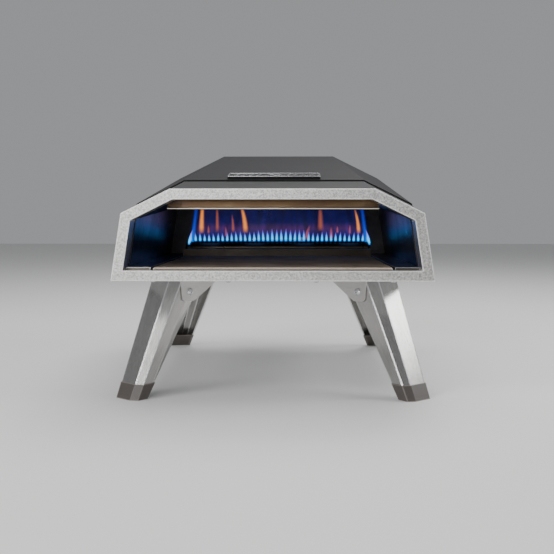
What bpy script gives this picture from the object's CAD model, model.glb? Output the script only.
"""Looks of the portable gas pizza oven: materials, small details, studio and camera.

The CAD frame gives every shape and place. Lengths are metres, +Z is up and the mouth faces -Y.
"""
import math
import random

import bpy
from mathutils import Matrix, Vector


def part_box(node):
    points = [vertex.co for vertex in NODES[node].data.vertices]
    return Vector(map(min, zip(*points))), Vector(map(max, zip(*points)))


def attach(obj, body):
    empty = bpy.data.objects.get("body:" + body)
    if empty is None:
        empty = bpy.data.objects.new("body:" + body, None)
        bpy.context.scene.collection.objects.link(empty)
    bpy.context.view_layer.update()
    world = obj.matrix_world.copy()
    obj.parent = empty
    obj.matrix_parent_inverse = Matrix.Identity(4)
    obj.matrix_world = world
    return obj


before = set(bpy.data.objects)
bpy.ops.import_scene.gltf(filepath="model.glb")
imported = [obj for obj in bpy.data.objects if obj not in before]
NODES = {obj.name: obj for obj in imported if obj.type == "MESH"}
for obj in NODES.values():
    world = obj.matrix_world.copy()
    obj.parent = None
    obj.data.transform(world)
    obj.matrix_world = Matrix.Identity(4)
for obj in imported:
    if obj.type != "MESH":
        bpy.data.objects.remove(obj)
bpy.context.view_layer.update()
random.seed(7)

CORNERS = ("front_left", "front_right", "rear_left", "rear_right")
MM = 0.001


# ---- Places, all read from the frame ----

mouth_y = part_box("front_bezel")[0].y
stone_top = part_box("pizza_stone")[1].z
burner_low, burner_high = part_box("burner_tube")
baffle_low, baffle_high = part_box("front_baffle")


# ---- Node helpers ----

class Shader:
    """A material with a Principled shader, and short calls for the nodes that feed it."""

    def __init__(self, name, color, metallic=0.0, roughness=0.5, **sockets):
        self.mat = bpy.data.materials.new(name)
        self.mat.use_nodes = True
        self.tree = self.mat.node_tree
        self.bsdf = next(n for n in self.tree.nodes if n.type == "BSDF_PRINCIPLED")
        self.set("Base Color", (*color, 1.0))
        self.set("Metallic", metallic)
        self.set("Roughness", roughness)
        for key, value in sockets.items():
            self.set(key.replace("_", " ").title().replace("Ior", "IOR"), value)

    def set(self, socket, value):
        self.bsdf.inputs[socket].default_value = value

    def node(self, kind, **inputs):
        node = self.tree.nodes.new(kind)
        for key, value in inputs.items():
            node.inputs[key].default_value = value
        return node

    def link(self, out, into):
        self.tree.links.new(out, into)

    def coords(self, scale=(1, 1, 1), rotation=(0, 0, 0)):
        """Object coordinates, turned back by rotation and then scaled."""
        place = self.node("ShaderNodeTexCoord")
        mapping = self.tree.nodes.new("ShaderNodeMapping")
        mapping.vector_type = "TEXTURE"
        mapping.inputs["Scale"].default_value = [1 / s for s in scale]
        mapping.inputs["Rotation"].default_value = rotation
        self.link(place.outputs["Object"], mapping.inputs["Vector"])
        return mapping.outputs["Vector"]

    def noise(self, vector, scale, detail=4.0, roughness=0.55, distortion=0.0):
        node = self.node("ShaderNodeTexNoise", Scale=scale, Detail=detail,
                         Roughness=roughness, Distortion=distortion)
        self.link(vector, node.inputs["Vector"])
        return node.outputs["Fac"]

    def ramp(self, value, stops):
        """A colour ramp through (position, colour or grey) stops."""
        node = self.tree.nodes.new("ShaderNodeValToRGB")
        ramp = node.color_ramp
        while len(ramp.elements) < len(stops):
            ramp.elements.new(0.5)
        for element, (position, color) in zip(ramp.elements, stops):
            element.position = position
            grey = isinstance(color, (int, float))
            element.color = (color, color, color, 1) if grey else (*color, 1)
        self.link(value, node.inputs["Fac"])
        return node.outputs["Color"]

    def mix(self, factor, a, b):
        """Mixes two colours or outputs by a factor or output."""
        node = self.tree.nodes.new("ShaderNodeMix")
        node.data_type = "RGBA"
        for value, index in ((factor, 0), (a, 6), (b, 7)):
            socket = node.inputs[index]
            if isinstance(value, bpy.types.NodeSocket):
                self.link(value, socket)
            elif index == 0:
                socket.default_value = value
            else:
                socket.default_value = (*value, 1)
        return node.outputs[2]

    def spread(self, value, low, high):
        """Maps a 0-1 output to a range of numbers."""
        node = self.node("ShaderNodeMapRange")
        node.inputs["To Min"].default_value = low
        node.inputs["To Max"].default_value = high
        self.link(value, node.inputs["Value"])
        return node.outputs["Result"]

    def bump(self, height, strength, distance, below=None):
        node = self.node("ShaderNodeBump", Strength=strength, Distance=distance)
        self.link(height, node.inputs["Height"])
        if below is not None:
            self.link(below, node.inputs["Normal"])
        self.link(node.outputs["Normal"], self.bsdf.inputs["Normal"])
        return node.outputs["Normal"]

    def below(self, height, soft=0.0004):
        """1 under a height in metres, 0 above it."""
        place = self.node("ShaderNodeTexCoord")
        split = self.node("ShaderNodeSeparateXYZ")
        self.link(place.outputs["Object"], split.inputs[0])
        mask = self.node("ShaderNodeMapRange")
        mask.inputs["From Min"].default_value = height + soft
        mask.inputs["From Max"].default_value = height
        self.link(split.outputs["Z"], mask.inputs["Value"])
        return mask.outputs["Result"]

    def color(self, output):
        self.link(output, self.bsdf.inputs["Base Color"])

    def rough(self, output):
        self.link(output, self.bsdf.inputs["Roughness"])


def edge_wear(shader, size, full=0.93):
    """1 on edges and corners within size metres, 0 on flat areas.

    The wear starts where the rounded normal leaves the flat one, and full is the cosine of the
    angle between them at which it is complete.
    """
    bevel = shader.node("ShaderNodeBevel", Radius=size)
    bevel.samples = 4
    geometry = shader.node("ShaderNodeNewGeometry")
    dot = shader.node("ShaderNodeVectorMath")
    dot.operation = "DOT_PRODUCT"
    shader.link(bevel.outputs["Normal"], dot.inputs[0])
    shader.link(geometry.outputs["Normal"], dot.inputs[1])
    wear = shader.node("ShaderNodeMapRange")
    wear.inputs["From Min"].default_value = 0.995
    wear.inputs["From Max"].default_value = full
    shader.link(dot.outputs["Value"], wear.inputs["Value"])
    return wear.outputs["Result"]


# ---- Metals ----

def grained_steel(name, dark, light, roughness):
    """Bead-blasted steel: a fine grain, coarser mottling and pale rubbed edges."""
    s = Shader(name, light, metallic=1.0, roughness=roughness)
    at = s.coords()
    tooth = s.noise(at, 1500.0, detail=3.0, roughness=0.7)
    mottle = s.noise(at, 430.0, detail=3.0, roughness=0.75)
    cloud = s.noise(at, 11.0, detail=4.0)
    speck = s.ramp(s.mix(0.6, tooth, mottle), [(0.4, dark), (0.57, light)])
    tone = s.mix(s.spread(cloud, 0.0, 0.25), speck, tuple(c * 0.85 for c in light))
    edge = edge_wear(s, 3 * MM, 0.97)
    s.color(s.mix(edge, tone, (1.0, 0.99, 0.97)))
    s.rough(s.mix(edge, s.spread(mottle, roughness - 0.16, roughness + 0.18),
                  (0.35, 0.35, 0.35)))
    s.link(s.spread(edge, 1.0, 0.3), s.bsdf.inputs["Metallic"])
    rounded = s.node("ShaderNodeBevel", Radius=1.4 * MM).outputs["Normal"]
    below = s.bump(mottle, 0.6, 0.0005, rounded)
    s.bump(tooth, 0.5, 0.00012, below)
    return s.mat


def brushed_steel(name, dark, light, roughness, rotation=(0, 0, 0), along="Z", smudge=0.2,
                  edge=0.0, metallic=1.0, **sockets):
    """Steel with long fine brush lines along one axis, faint smudges and bright folds.

    edge is the width of the bright folds in metres, and 0 leaves them out.
    """
    fine = {"X": (6.0, 900.0, 900.0), "Y": (900.0, 6.0, 900.0), "Z": (900.0, 900.0, 6.0)}[along]
    wide = tuple(v / 6 if v > 100 else v / 3 for v in fine)
    s = Shader(name, light, metallic=metallic, roughness=roughness, **sockets)
    lines = s.noise(s.coords(fine, rotation), 1.0, detail=5.0, roughness=0.65)
    bands = s.noise(s.coords(wide, rotation), 1.0, detail=2.0)
    cloud = s.noise(s.coords(), 14.0, detail=5.0, roughness=0.6)
    tone = s.mix(s.spread(bands, 0.25, 0.75), s.ramp(lines, [(0.3, dark), (0.7, light)]), light)
    tone = s.mix(s.spread(cloud, 0.0, smudge), tone, dark)
    if edge:
        tone = s.mix(edge_wear(s, edge, 0.985), tone, tuple(min(1.0, c * 2) for c in light))
    s.color(tone)
    s.rough(s.mix(0.5, s.spread(lines, roughness - 0.1, roughness + 0.12),
                  s.spread(cloud, roughness - 0.08, roughness + 0.14)))
    rounded = s.node("ShaderNodeBevel", Radius=max(edge, 0.5 * MM)).outputs["Normal"]
    s.bump(lines, 0.4, 0.00007, rounded)
    return s.mat


def heat_tinted(name):
    """Bronze and brown oxide colours on stainless steel, and a hem that has stayed bright."""
    s = Shader(name, (0.5, 0.36, 0.22), metallic=1.0, roughness=0.3)
    at = s.coords((3.0, 1.0, 14.0))
    drift = s.noise(at, 3.0, detail=4.0, distortion=0.6)
    lines = s.noise(s.coords((6.0, 900.0, 900.0)), 1.0, detail=4.0)
    tint = s.ramp(drift, [(0.28, (0.2, 0.135, 0.08)), (0.45, (0.13, 0.078, 0.042)),
                          (0.6, (0.1, 0.057, 0.034)), (0.78, (0.085, 0.066, 0.07))])
    tint = s.mix(s.spread(lines, 0.0, 0.3), tint, (0.26, 0.19, 0.12))
    hem = s.below(baffle_low.z + 1.7 * MM)
    s.color(s.mix(hem, tint, (0.93, 0.86, 0.74)))
    s.rough(s.spread(lines, 0.24, 0.44))
    s.bump(lines, 0.25, 0.00005)
    return s.mat


def sooted_liner(name, base, soot, along, edge=0.0):
    """Chamber steel: brushed, darkened by heat, with clouds of soot.

    edge is the width of bright rubbed edges in metres, and 0 leaves them out.
    """
    fine = {"X": (8.0, 700.0, 700.0), "Y": (700.0, 8.0, 700.0)}[along]
    s = Shader(name, base, metallic=1.0, roughness=0.28)
    lines = s.noise(s.coords(fine), 1.0, detail=4.0)
    cloud = s.noise(s.coords(), 16.0, detail=6.0, roughness=0.65, distortion=0.4)
    tone = s.mix(s.spread(lines, 0.0, 0.45), base, tuple(c * 1.5 for c in base))
    tone = s.mix(s.ramp(cloud, [(0.35, 0.0), (0.75, 0.85)]), tone, soot)
    if edge:
        tone = s.mix(edge_wear(s, edge), tone, (0.9, 0.88, 0.85))
    s.color(tone)
    s.rough(s.spread(cloud, 0.16, 0.5))
    s.bump(lines, 0.3, 0.00005)
    return s.mat


def plated(name, base, roughness, speck=0.08):
    """Small turned or plated parts: nearly even, with fine scratches."""
    s = Shader(name, base, metallic=1.0, roughness=roughness)
    fine = s.noise(s.coords(), 1200.0, detail=3.0)
    cloud = s.noise(s.coords(), 90.0, detail=3.0)
    s.color(s.mix(s.spread(cloud, 0.0, 0.35), base, tuple(c * 0.62 for c in base)))
    s.rough(s.spread(fine, max(0.03, roughness - speck), roughness + speck))
    s.bump(fine, 0.12, 0.00003)
    return s.mat


def powder_coat(name, base, roughness=0.5):
    """Black powder coat: fine orange peel, with dust and slightly rubbed edges."""
    s = Shader(name, base, metallic=0.0, roughness=roughness, specular_ior_level=0.12)
    at = s.coords()
    peel = s.noise(at, 430.0, detail=2.0, roughness=0.5)
    grit = s.noise(at, 2200.0, detail=2.0)
    cloud = s.noise(at, 7.0, detail=5.0, roughness=0.6)
    dust = s.noise(at, 900.0, detail=6.0, roughness=0.8)
    tone = s.mix(s.spread(cloud, 0.0, 0.7), base, tuple(c * 1.8 + 0.003 for c in base))
    tone = s.mix(s.ramp(dust, [(0.62, 0.0), (0.8, 0.25)]), tone, (0.08, 0.076, 0.07))
    s.color(s.mix(edge_wear(s, 0.8 * MM), tone, tuple(c * 3 + 0.03 for c in base)))
    s.rough(s.mix(0.5, s.spread(cloud, roughness - 0.12, roughness + 0.14),
                  s.spread(peel, roughness - 0.06, roughness + 0.06)))
    below = s.bump(peel, 0.4, 0.0004)
    s.bump(grit, 0.25, 0.00008, below)
    return s.mat


# ---- Other surfaces ----

def stone_surface(name):
    """Cordierite: sandy and porous, browned by baking, pale at its edges, scorched below them."""
    s = Shader(name, (0.55, 0.46, 0.37), roughness=0.9, specular_ior_level=0.25)
    at = s.coords()
    sand = s.noise(at, 900.0, detail=5.0, roughness=0.75)
    blot = s.noise(at, 18.0, detail=6.0, roughness=0.62, distortion=0.5)
    pores = s.node("ShaderNodeTexVoronoi", Scale=420.0)
    s.link(at, pores.inputs["Vector"])
    pore = s.ramp(pores.outputs["Distance"], [(0.06, 0.0), (0.22, 1.0)])
    tone = s.ramp(sand, [(0.3, (0.2, 0.155, 0.12)), (0.7, (0.4, 0.325, 0.255))])
    tone = s.mix(s.ramp(blot, [(0.46, 0.0), (0.7, 0.75)]), tone, (0.13, 0.09, 0.065))
    tone = s.mix(pore, (0.14, 0.11, 0.09), tone)
    scorched = s.below(stone_top - 2.6 * MM)
    tone = s.mix(scorched, tone, (0.035, 0.027, 0.02))
    s.color(s.mix(edge_wear(s, 3 * MM, 0.97), tone, (1.0, 0.87, 0.74)))
    below = s.bump(sand, 0.5, 0.0003)
    s.bump(pore, 0.4, 0.0004, below)
    return s.mat


def ceramic_fibre(name):
    s = Shader(name, (0.82, 0.8, 0.76), roughness=1.0, specular_ior_level=0.1)
    at = s.coords((1.0, 1.0, 2.5))
    fibres = s.noise(at, 260.0, detail=8.0, roughness=0.8, distortion=2.0)
    s.color(s.ramp(fibres, [(0.3, (0.6, 0.58, 0.54)), (0.65, (0.88, 0.87, 0.83))]))
    s.bump(fibres, 0.9, 0.0015)
    return s.mat


def moulded(name, base, roughness, spark=900.0, edge=1 * MM):
    """Moulded plastic or rubber with a fine eroded texture."""
    s = Shader(name, base, roughness=roughness, specular_ior_level=0.5)
    at = s.coords()
    texture = s.noise(at, spark, detail=3.0)
    cloud = s.noise(at, 60.0, detail=4.0)
    tone = s.mix(s.spread(cloud, 0.0, 0.5), base, tuple(c * 1.6 + 0.004 for c in base))
    s.color(s.mix(edge_wear(s, edge), tone, tuple(min(1.0, c * 3 + 0.02) for c in base)))
    s.rough(s.spread(cloud, roughness - 0.06, roughness + 0.1))
    s.bump(texture, 0.3, 0.00008)
    return s.mat


def glazed(name, base):
    s = Shader(name, base, roughness=0.25, coat_weight=0.4, coat_roughness=0.1)
    cloud = s.noise(s.coords(), 200.0, detail=4.0)
    s.color(s.mix(s.spread(cloud, 0.0, 0.3), base, tuple(c * 0.8 for c in base)))
    return s.mat


def braided_sleeve(name, base):
    """Glass-fibre sleeve on the igniter's and sensor's leads."""
    s = Shader(name, base, roughness=0.8, sheen_weight=0.3)
    weave = s.node("ShaderNodeTexWave", Scale=420.0, Distortion=1.5)
    weave.bands_direction = "DIAGONAL"
    s.link(s.coords(), weave.inputs["Vector"])
    s.color(s.mix(weave.outputs["Fac"], tuple(c * 0.5 for c in base), base))
    s.bump(weave.outputs["Fac"], 0.6, 0.0002)
    return s.mat


def leg_rotation(corner):
    """Turn that brings Z along the leg, from foot to pivot."""
    foot_low, foot_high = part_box("foot_" + corner)
    foot = (foot_low + foot_high) / 2
    low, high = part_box("leg_" + corner)
    inner_x = low.x if abs(low.x) < abs(high.x) else high.x
    inner_y = low.y if abs(low.y) < abs(high.y) else high.y
    top = Vector((inner_x, inner_y, high.z))
    return (top - foot).to_track_quat("Z", "Y").to_euler()


def assign(material, *names):
    for name in names:
        slots = NODES[name].data.materials
        slots.clear()
        slots.append(material)


def by_corner(prefix):
    return [prefix + "_" + corner for corner in CORNERS]


def dress_cad():
    """Gives every CAD node its material, and adds the painted marks and the inlet's thread."""
    assign(grained_steel("bezel_steel", (0.21, 0.207, 0.204), (0.7, 0.687, 0.674), 0.38),
           "front_bezel")
    assign(brushed_steel("hood_steel", (0.05, 0.05, 0.051), (0.12, 0.12, 0.121), 0.4, along="X",
                         smudge=0.35, edge=0.8 * MM, metallic=0.6,
                         specular_tint=(0.3, 0.3, 0.3, 1)), "front_hood")
    assign(powder_coat("roof_powder", (0.013, 0.013, 0.014), 0.47), "roof_shell", "rear_panel")
    assign(brushed_steel("pan_steel", (0.42, 0.43, 0.44), (0.6, 0.61, 0.62), 0.42, along="Y"),
           "base_pan", "heat_shield")
    assign(sooted_liner("liner_wall", (0.05, 0.048, 0.052), (0.014, 0.013, 0.014), "Y"),
           "chamber_liner", "liner_back")
    assign(sooted_liner("deck_steel", (0.15, 0.14, 0.13), (0.05, 0.045, 0.04), "Y",
                        edge=1.5 * MM), "chamber_floor", "stone_rails")
    assign(heat_tinted("baffle_steel"), "front_baffle")
    assign(stone_surface("cordierite"), "pizza_stone")
    assign(ceramic_fibre("ceramic_wool"), "insulation_blanket", "insulation_rear")
    assign(sooted_liner("burner_steel", (0.065, 0.055, 0.047), (0.02, 0.017, 0.015), "X"),
           "burner_tube", "burner_guard", "burner_brackets", "venturi_tube")
    brass = plated("brass", (0.72, 0.53, 0.26), 0.28)
    assign(brass, "air_shutter", "gas_jet", "gas_inlet", "inlet_nut", "valve_plunger")
    inlet_thread(brass)
    control_marks()
    assign(plated("cast_aluminium", (0.58, 0.58, 0.58), 0.45), "valve_body", "gas_pipe")
    assign(plated("zinc", (0.74, 0.74, 0.76), 0.24), "valve_stem", "flame_sensor", "leg_bolts",
           "leg_nuts", "bracket_screws", "bezel_screws", "baffle_rivets")
    assign(plated("black_oxide", (0.035, 0.035, 0.037), 0.4), "shell_screws", "rear_screws")
    assign(moulded("knob_plastic", (0.012, 0.012, 0.013), 0.38), "control_knob")
    assign(brushed_steel("dial_steel", (0.45, 0.45, 0.45), (0.68, 0.68, 0.68), 0.3, along="X"),
           "knob_bezel")
    assign(glazed("electrode_ceramic", (0.84, 0.82, 0.77)), "igniter_electrode")
    assign(braided_sleeve("lead_red", (0.35, 0.06, 0.04)), "igniter_lead")
    assign(braided_sleeve("lead_tan", (0.5, 0.36, 0.2)), "sensor_lead")
    assign(powder_coat("badge_enamel", (0.008, 0.008, 0.009), 0.36), "badge_plate")
    assign(plated("badge_chrome", (0.82, 0.82, 0.84), 0.1, speck=0.04), "badge_frame")
    assign(plated("badge_relief", (0.5, 0.5, 0.51), 0.2, speck=0.06), "badge_marks")
    assign(moulded("foot_coating", (0.06, 0.052, 0.047), 0.32, spark=700.0,
                   edge=2.5 * MM), *by_corner("foot"))
    assign(moulded("washer_nylon", (0.7, 0.69, 0.64), 0.5), "leg_washers")
    for corner in CORNERS:
        steel = brushed_steel("leg_steel_" + corner, (0.2, 0.196, 0.192), (0.56, 0.55, 0.535), 0.22,
                              rotation=leg_rotation(corner), smudge=0.35, edge=3 * MM)
        assign(steel, "leg_" + corner)
    assign(brushed_steel("bracket_steel", (0.38, 0.37, 0.36), (0.66, 0.65, 0.63), 0.34, along="X"),
           *by_corner("bracket"))


def soften_edges():
    """Rounds the folded and cut edges of the sheet metal a little, as real ones are."""
    # Node: bevel width in mm
    widths = {"front_bezel": 0.6, "front_hood": 0.35, "roof_shell": 0.35, "rear_panel": 0.25,
              "base_pan": 0.3, "chamber_floor": 0.25, "front_baffle": 0.25, "pizza_stone": 0.6,
              "burner_guard": 0.25, "badge_plate": 0.4, "badge_frame": 0.35, "badge_marks": 0.2,
              "control_knob": 0.3, "gas_inlet": 0.3}
    for corner in CORNERS:
        widths.update({"leg_" + corner: 0.5, "foot_" + corner: 1.0, "bracket_" + corner: 0.4})
    for name, width in widths.items():
        weld = NODES[name].modifiers.new("weld", "WELD")
        weld.merge_threshold = 1e-6
        bevel = NODES[name].modifiers.new("edge", "BEVEL")
        bevel.width = width * MM
        bevel.segments = 2
        bevel.limit_method = "ANGLE"
        bevel.angle_limit = math.radians(28)
        bevel.harden_normals = True


# ---- Small pieces on the rear panel ----

def piece(name, verts, faces, material, body):
    mesh = bpy.data.meshes.new(name)
    mesh.from_pydata(verts, [], faces)
    mesh.materials.append(material)
    obj = bpy.data.objects.new(name, mesh)
    bpy.context.scene.collection.objects.link(obj)
    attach(obj, body)
    return obj


def paint_drop(verts, faces, center, radius, height, sides=14):
    """A domed drop of paint that faces the rear."""
    first = len(verts)
    for reach, rise in ((1.0, 0.0), (0.85, 0.7), (0.45, 1.0)):
        for k in range(sides):
            a = 2 * math.pi * k / sides
            verts.append(center + Vector((radius * reach * math.cos(a), height * rise,
                                          radius * reach * math.sin(a))))
    for ring in (0, 1):
        for k in range(sides):
            a = first + ring * sides + k
            b = first + ring * sides + (k + 1) % sides
            faces.append((a, b, b + sides, a + sides))
    faces.append(tuple(range(first + 2 * sides, first + 3 * sides)))


def control_marks():
    """Black paint in the dial's dots and white paint in the knob's pointer groove."""
    paint = moulded("white_paint", (0.78, 0.77, 0.74), 0.45)
    ink = moulded("black_paint", (0.015, 0.015, 0.015), 0.4)
    dial_low, dial_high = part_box("knob_bezel")
    middle = (dial_low + dial_high) / 2
    dot_circle = 25.4 * MM
    dot_y = dial_low.y + 1.9 * MM
    verts, faces = [], []
    for k in range(6):
        a = math.radians(90 - 45 * k)
        place = Vector((middle.x + dot_circle * math.cos(a), dot_y,
                        middle.z + dot_circle * math.sin(a)))
        shrink = 1.0 - 0.09 * max(0, k - 1)
        paint_drop(verts, faces, place, shrink * 0.96 * MM, 0.4 * MM)
    piece("dial_dots", verts, faces, ink, "oven")

    knob_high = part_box("control_knob")[1]
    groove_floor = knob_high.y - 0.95 * MM
    groove_end = knob_high.z - middle.z - 3.2 * MM
    length = 12.6 * MM
    half = 0.85 * MM
    steps = 12
    verts, faces = [], []
    center = Vector((middle.x, groove_floor, middle.z))
    for k in range(steps + 1):
        z = groove_end - length * k / steps
        lift = 0.55 * MM * math.sin(math.pi * (0.1 + 0.8 * k / steps))
        verts.extend([center + Vector((-half, 0, z)), center + Vector((-half * 0.6, lift, z)),
                      center + Vector((half * 0.6, lift, z)), center + Vector((half, 0, z))])
        if k:
            a = 4 * k
            faces.extend([(a - 4 + i, a - 3 + i, a + 1 + i, a + i) for i in range(3)])
    piece("knob_pointer", verts, faces, paint, "knob")


def inlet_thread(material):
    """A rolled thread around the gas inlet."""
    low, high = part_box("gas_inlet")
    middle = (low + high) / 2
    start = high.y - 19.5 * MM
    turns, pitch, sides = 10, 1.34 * MM, 28
    root, crest = 7.88 * MM, 8.3 * MM
    verts, faces = [], []
    for k in range(turns * sides + 1):
        a = 2 * math.pi * k / sides
        y = start + pitch * k / sides
        fade = min(1.0, k / sides, (turns * sides - k) / sides)
        for shift, reach in ((-0.45, root), (-0.08, root + (crest - root) * fade),
                             (0.08, root + (crest - root) * fade), (0.45, root)):
            verts.append(Vector((middle.x + reach * math.cos(a), y + shift * pitch,
                                 middle.z + reach * math.sin(a))))
        if k:
            b = 4 * k
            faces.extend([(b - 4 + i, b - 3 + i, b + 1 + i, b + i) for i in range(3)])
    thread = piece("inlet_thread", verts, faces, material, "oven")
    for polygon in thread.data.polygons:
        polygon.use_smooth = True


# ---- Flames: staging, not part of the object ----

def flame_material(name, stops, strength, streak=0.0):
    """Emission whose colour and cover follow the height, from UV v.

    stops are (position, colour, cover). With streak, the number of licks across the width, the
    cover breaks up into upright licks; without it, the cover fades towards both sides.
    """
    mat = bpy.data.materials.new(name)
    mat.use_nodes = True
    tree = mat.node_tree
    tree.nodes.clear()
    link = tree.links.new

    def node(kind, **inputs):
        made = tree.nodes.new(kind)
        for key, value in inputs.items():
            made.inputs[key.replace("_", " ")].default_value = value
        return made

    def product(a, b):
        made = node("ShaderNodeMath")
        made.operation = "MULTIPLY"
        link(a, made.inputs[0])
        link(b, made.inputs[1])
        return made.outputs[0]

    uv = node("ShaderNodeTexCoord").outputs["UV"]
    split = node("ShaderNodeSeparateXYZ")
    link(uv, split.inputs[0])
    ramp = node("ShaderNodeValToRGB")
    while len(ramp.color_ramp.elements) < len(stops):
        ramp.color_ramp.elements.new(0.5)
    for element, (position, color, cover) in zip(ramp.color_ramp.elements, stops):
        element.position = position
        element.color = (*color, cover)
    link(split.outputs["Y"], ramp.inputs["Fac"])

    side = node("ShaderNodeMath")
    side.operation = "PINGPONG"
    side.inputs[1].default_value = 0.5
    link(split.outputs["X"], side.inputs[0])
    edge = node("ShaderNodeMapRange", From_Max=0.04 if streak else 0.5)
    edge.interpolation_type = "SMOOTHSTEP"
    link(side.outputs[0], edge.inputs["Value"])
    cover = product(ramp.outputs["Alpha"], edge.outputs["Result"])
    if streak:
        stretch = node("ShaderNodeMapping", Scale=(streak, 1.6, 1.0))
        link(uv, stretch.inputs["Vector"])
        noise = node("ShaderNodeTexNoise", Scale=1.0, Detail=4.0)
        link(stretch.outputs["Vector"], noise.inputs["Vector"])
        lick = node("ShaderNodeMapRange", From_Min=0.3, From_Max=0.7, To_Min=0.25)
        link(noise.outputs["Fac"], lick.inputs["Value"])
        cover = product(cover, lick.outputs["Result"])

    glow = node("ShaderNodeEmission", Strength=strength)
    link(ramp.outputs["Color"], glow.inputs["Color"])
    mix = node("ShaderNodeMixShader")
    link(cover, mix.inputs["Fac"])
    link(node("ShaderNodeBsdfTransparent").outputs[0], mix.inputs[1])
    link(glow.outputs[0], mix.inputs[2])
    link(mix.outputs[0], node("ShaderNodeOutputMaterial").inputs["Surface"])
    return mat


def blade(verts, faces, uvs, base, width, height, lean_x, lean_y, taper, curve=2.0, steps=6):
    """Adds one flame tongue, a curved strip, to the lists.

    The lean is the top's shift, and taper is the top's share of the width.
    """
    first = len(verts)
    for k in range(steps + 1):
        t = k / steps
        half = width / 2 * (1 - t ** 1.5 * (1 - taper))
        middle = base + Vector((lean_x * t ** curve, lean_y * t * t, height * t))
        verts.extend([middle - Vector((half, 0, 0)), middle + Vector((half, 0, 0))])
        uvs.extend([(0, t), (1, t)])
        if k:
            a = first + 2 * k
            faces.append((a - 2, a - 1, a + 1, a))


def flame_object(name, verts, faces, uvs, material):
    mesh = bpy.data.meshes.new(name)
    mesh.from_pydata(verts, [], faces)
    layer = mesh.uv_layers.new(name="height")
    for loop in mesh.loops:
        layer.data[loop.index].uv = uvs[loop.vertex_index]
    mesh.materials.append(material)
    obj = bpy.data.objects.new(name, mesh)
    bpy.context.scene.collection.objects.link(obj)
    obj.visible_shadow = False


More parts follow.
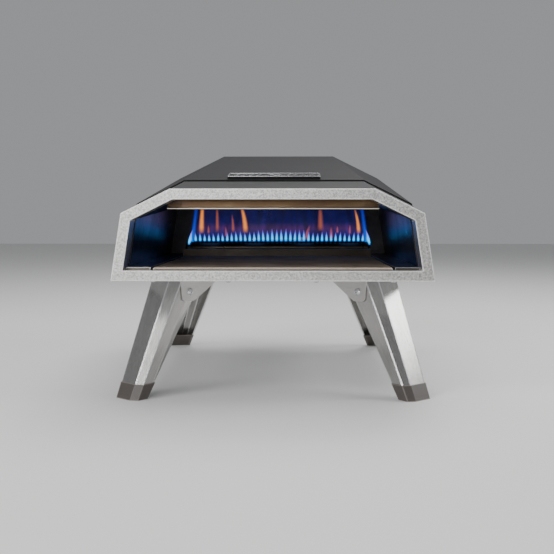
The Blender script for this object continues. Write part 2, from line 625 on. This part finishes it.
def light_flames():
    """The gas flames over the burner's ports, the glow above them, and their light."""
    # The row sits 3 mm right of the burner's middle, towards where the photograph shows it
    x0 = burner_low.x + 10 * MM
    x1 = burner_high.x - 4 * MM
    y = (burner_low.y + burner_high.y) / 2 - 5 * MM
    z = burner_high.z + 0.5 * MM
    top = baffle_high.z
    ports = 40

    blue = flame_material("flame_blue", [
        (0.0, (0.0, 0.12, 0.7), 0.6), (0.2, (0.01, 0.5, 1.0), 1.0), (0.5, (0.03, 0.3, 1.0), 0.95),
        (0.75, (0.12, 0.1, 0.75), 0.5), (1.0, (0.35, 0.12, 0.5), 0.0)], 2.6)
    verts, faces, uvs = [], [], []
    for i in range(ports):
        along = i / (ports - 1)
        x = x0 + (x1 - x0) * along
        middle = math.exp(-((along - 0.5) / 0.16) ** 2)
        height = random.uniform(15, 19) * MM + 7 * MM * middle
        blade(verts, faces, uvs, Vector((x, y, z)), (7.2 + 0.8 * middle) * MM, height,
              (random.uniform(-1, 1) + (along - 0.5) * 7 * middle) * MM, -4 * MM, 0.15)
    for side, x in ((-1, x0), (1, x1)):
        for k in range(3):
            base = Vector((x + side * (0.5 + 1.5 * k) * MM, y - (3 + k) * MM, z - 3 * k * MM))
            blade(verts, faces, uvs, base, 6 * MM, 24 * MM, -side * 5 * MM, 0, 0.15)
    flame_object("stage_flame_teeth", verts, faces, uvs, blue)

    sheet = flame_material("flame_sheet", [
        (0.0, (0.0, 0.06, 0.5), 0.1), (0.2, (0.07, 0.05, 0.5), 0.55),
        (0.34, (0.2, 0.06, 0.34), 0.6), (0.5, (0.03, 0.025, 0.3), 0.5),
        (1.0, (0.012, 0.012, 0.2), 0.35)], 0.75, streak=30.0)
    verts, faces, uvs = [], [], []
    columns = 40
    for i in range(columns + 1):
        u = i / columns
        for v in (0.0, 0.25, 0.5, 0.75, 1.0):
            narrow = 1 - 0.09 * v
            x = (x0 + x1) / 2 + (u - 0.5) * (x1 - x0 + 4 * MM) * narrow
            verts.append(Vector((x, y + 2 * MM - 10 * MM * v * v, z + (top - z) * v)))
            uvs.append((u, v))
    for i in range(columns):
        for j in range(4):
            a = i * 5 + j
            faces.append((a, a + 5, a + 6, a + 1))
    flame_object("stage_flame_sheet", verts, faces, uvs, sheet)

    # Bright blue curtains at both ends, which lean in towards the top
    ends = flame_material("flame_ends", [
        (0.0, (0.0, 0.2, 1.0), 0.8), (0.4, (0.02, 0.07, 0.9), 0.7),
        (1.0, (0.02, 0.02, 0.6), 0.45)], 1.0)
    verts, faces, uvs = [], [], []
    for side, x in ((-1, x0), (1, x1)):
        base = Vector((x - side * 2 * MM, y - 3 * MM, z - 1 * MM))
        blade(verts, faces, uvs, base, 11 * MM, top - z, -side * 10 * MM, -6 * MM, 0.8, curve=1)
    flame_object("stage_flame_ends", verts, faces, uvs, ends)

    # Orange streaks: place along the burner, then start, height, lean and width in mm, and look
    streaks = [(0.06, 14, 62, 4, 12.8, "bright"), (0.1, 14, 16, 0, 6.4, "dim"),
               (0.15, 16, 52, 0, 9.6, "dim"), (0.2, 8, 20, -1, 6.4, "pink"),
               (0.24, 16, 34, -2, 8, "dim"), (0.31, 15, 54, -9, 12.8, "bright"),
               (0.655, 3, 26, 6, 11.2, "pink"), (0.735, 18, 50, -1, 14.4, "dim"),
               (0.795, 5, 22, 0, 9.6, "pink"), (0.83, 15, 14, 0, 6.4, "pink"),
               (0.9, 13, 18, 0, 6.4, "pink"), (0.95, 14, 46, -8, 9.6, "bright")]
    looks = {"bright": ((1.0, 0.3, 0.03), 0.75, 1.8), "dim": ((0.8, 0.2, 0.05), 0.5, 0.95),
             "pink": ((0.8, 0.18, 0.22), 0.5, 1.0)}
    for look, (color, cover, strength) in looks.items():
        glow = flame_material("flame_" + look, [
            (0.0, color, 0.0), (0.2, color, cover), (0.65, color, cover * 0.8),
            (1.0, color, 0.0)], strength)
        verts, faces, uvs = [], [], []
        for place, start, height, lean, width, kind in streaks:
            if kind == look:
                base = Vector((x0 + (x1 - x0) * place, y - 3 * MM, z + start * MM))
                blade(verts, faces, uvs, base, width * MM, height * MM, lean * MM, -3 * MM, 0.45)
        flame_object("stage_flame_" + look, verts, faces, uvs, glow)

    for place in (0.1, 0.36, 0.64, 0.9):
        light = bpy.data.lights.new("flame_light", "POINT")
        light.color = (0.14, 0.34, 1.0)
        light.energy = 0.013
        light.shadow_soft_size = 0.02
        lamp = bpy.data.objects.new("flame_light", light)
        lamp.location = (x0 + (x1 - x0) * place, y - 12 * MM, z + 22 * MM)
        bpy.context.scene.collection.objects.link(lamp)


# ---- Studio ----

def studio():
    scene = bpy.context.scene
    world = bpy.data.worlds.new("studio")
    world.use_nodes = True
    background = world.node_tree.nodes["Background"]
    background.inputs["Color"].default_value = (0.75, 0.76, 0.78, 1)
    background.inputs["Strength"].default_value = 0.42
    scene.world = world

    mesh = bpy.data.meshes.new("stage_floor")
    size = 6.0
    mesh.from_pydata([(-size, -size, 0), (size, -size, 0), (size, size, 0), (-size, size, 0)], [],
                     [(0, 1, 2, 3)])
    floor = bpy.data.objects.new("stage_floor", mesh)
    scene.collection.objects.link(floor)
    s = Shader("floor_paint", (0.72, 0.72, 0.71), roughness=0.6)
    s.rough(s.spread(s.noise(s.coords(), 3.0), 0.5, 0.7))
    mesh.materials.append(s.mat)

    def softbox(name, place, size_x, size_y, power):
        light = bpy.data.lights.new(name, "AREA")
        light.shape = "RECTANGLE"
        light.size = size_x
        light.size_y = size_y
        light.energy = power
        lamp = bpy.data.objects.new(name, light)
        lamp.location = place
        aim = Vector((0, 0, 0.2)) - Vector(place)
        lamp.rotation_euler = aim.to_track_quat("-Z", "Y").to_euler()
        scene.collection.objects.link(lamp)

    softbox("front", (-0.8, -2.4, 0.8), 1.6, 0.9, 24)
    softbox("key", (-1.5, -1.2, 1.5), 0.9, 0.9, 18)
    softbox("fill", (1.7, -0.15, 1.2), 0.9, 0.8, 18)
    softbox("top", (0.0, 0.3, 2.0), 1.6, 1.2, 20)
    softbox("back", (0.6, 1.3, 2.3), 1.2, 0.8, 22)


def camera():
    """The photograph's viewpoint: in front of the mouth and just right of the middle.

    Place, turn and lens are solved from the corners of the bezel, stone, feet and roof.
    """
    data = bpy.data.cameras.new("camera")
    data.sensor_width = 36.0
    data.lens = 53.87
    cam = bpy.data.objects.new("camera", data)
    yaw = math.radians(-1.04)
    pitch = math.radians(-4.27)
    cam.location = (26.7 * MM, mouth_y - 1.117, 0.2554)
    forward = Vector((math.sin(yaw) * math.cos(pitch), math.cos(yaw) * math.cos(pitch),
                      math.sin(pitch)))
    cam.rotation_euler = forward.to_track_quat("-Z", "Y").to_euler()
    bpy.context.scene.collection.objects.link(cam)
    bpy.context.scene.camera = cam


camera()
studio()
dress_cad()
soften_edges()
light_flames()
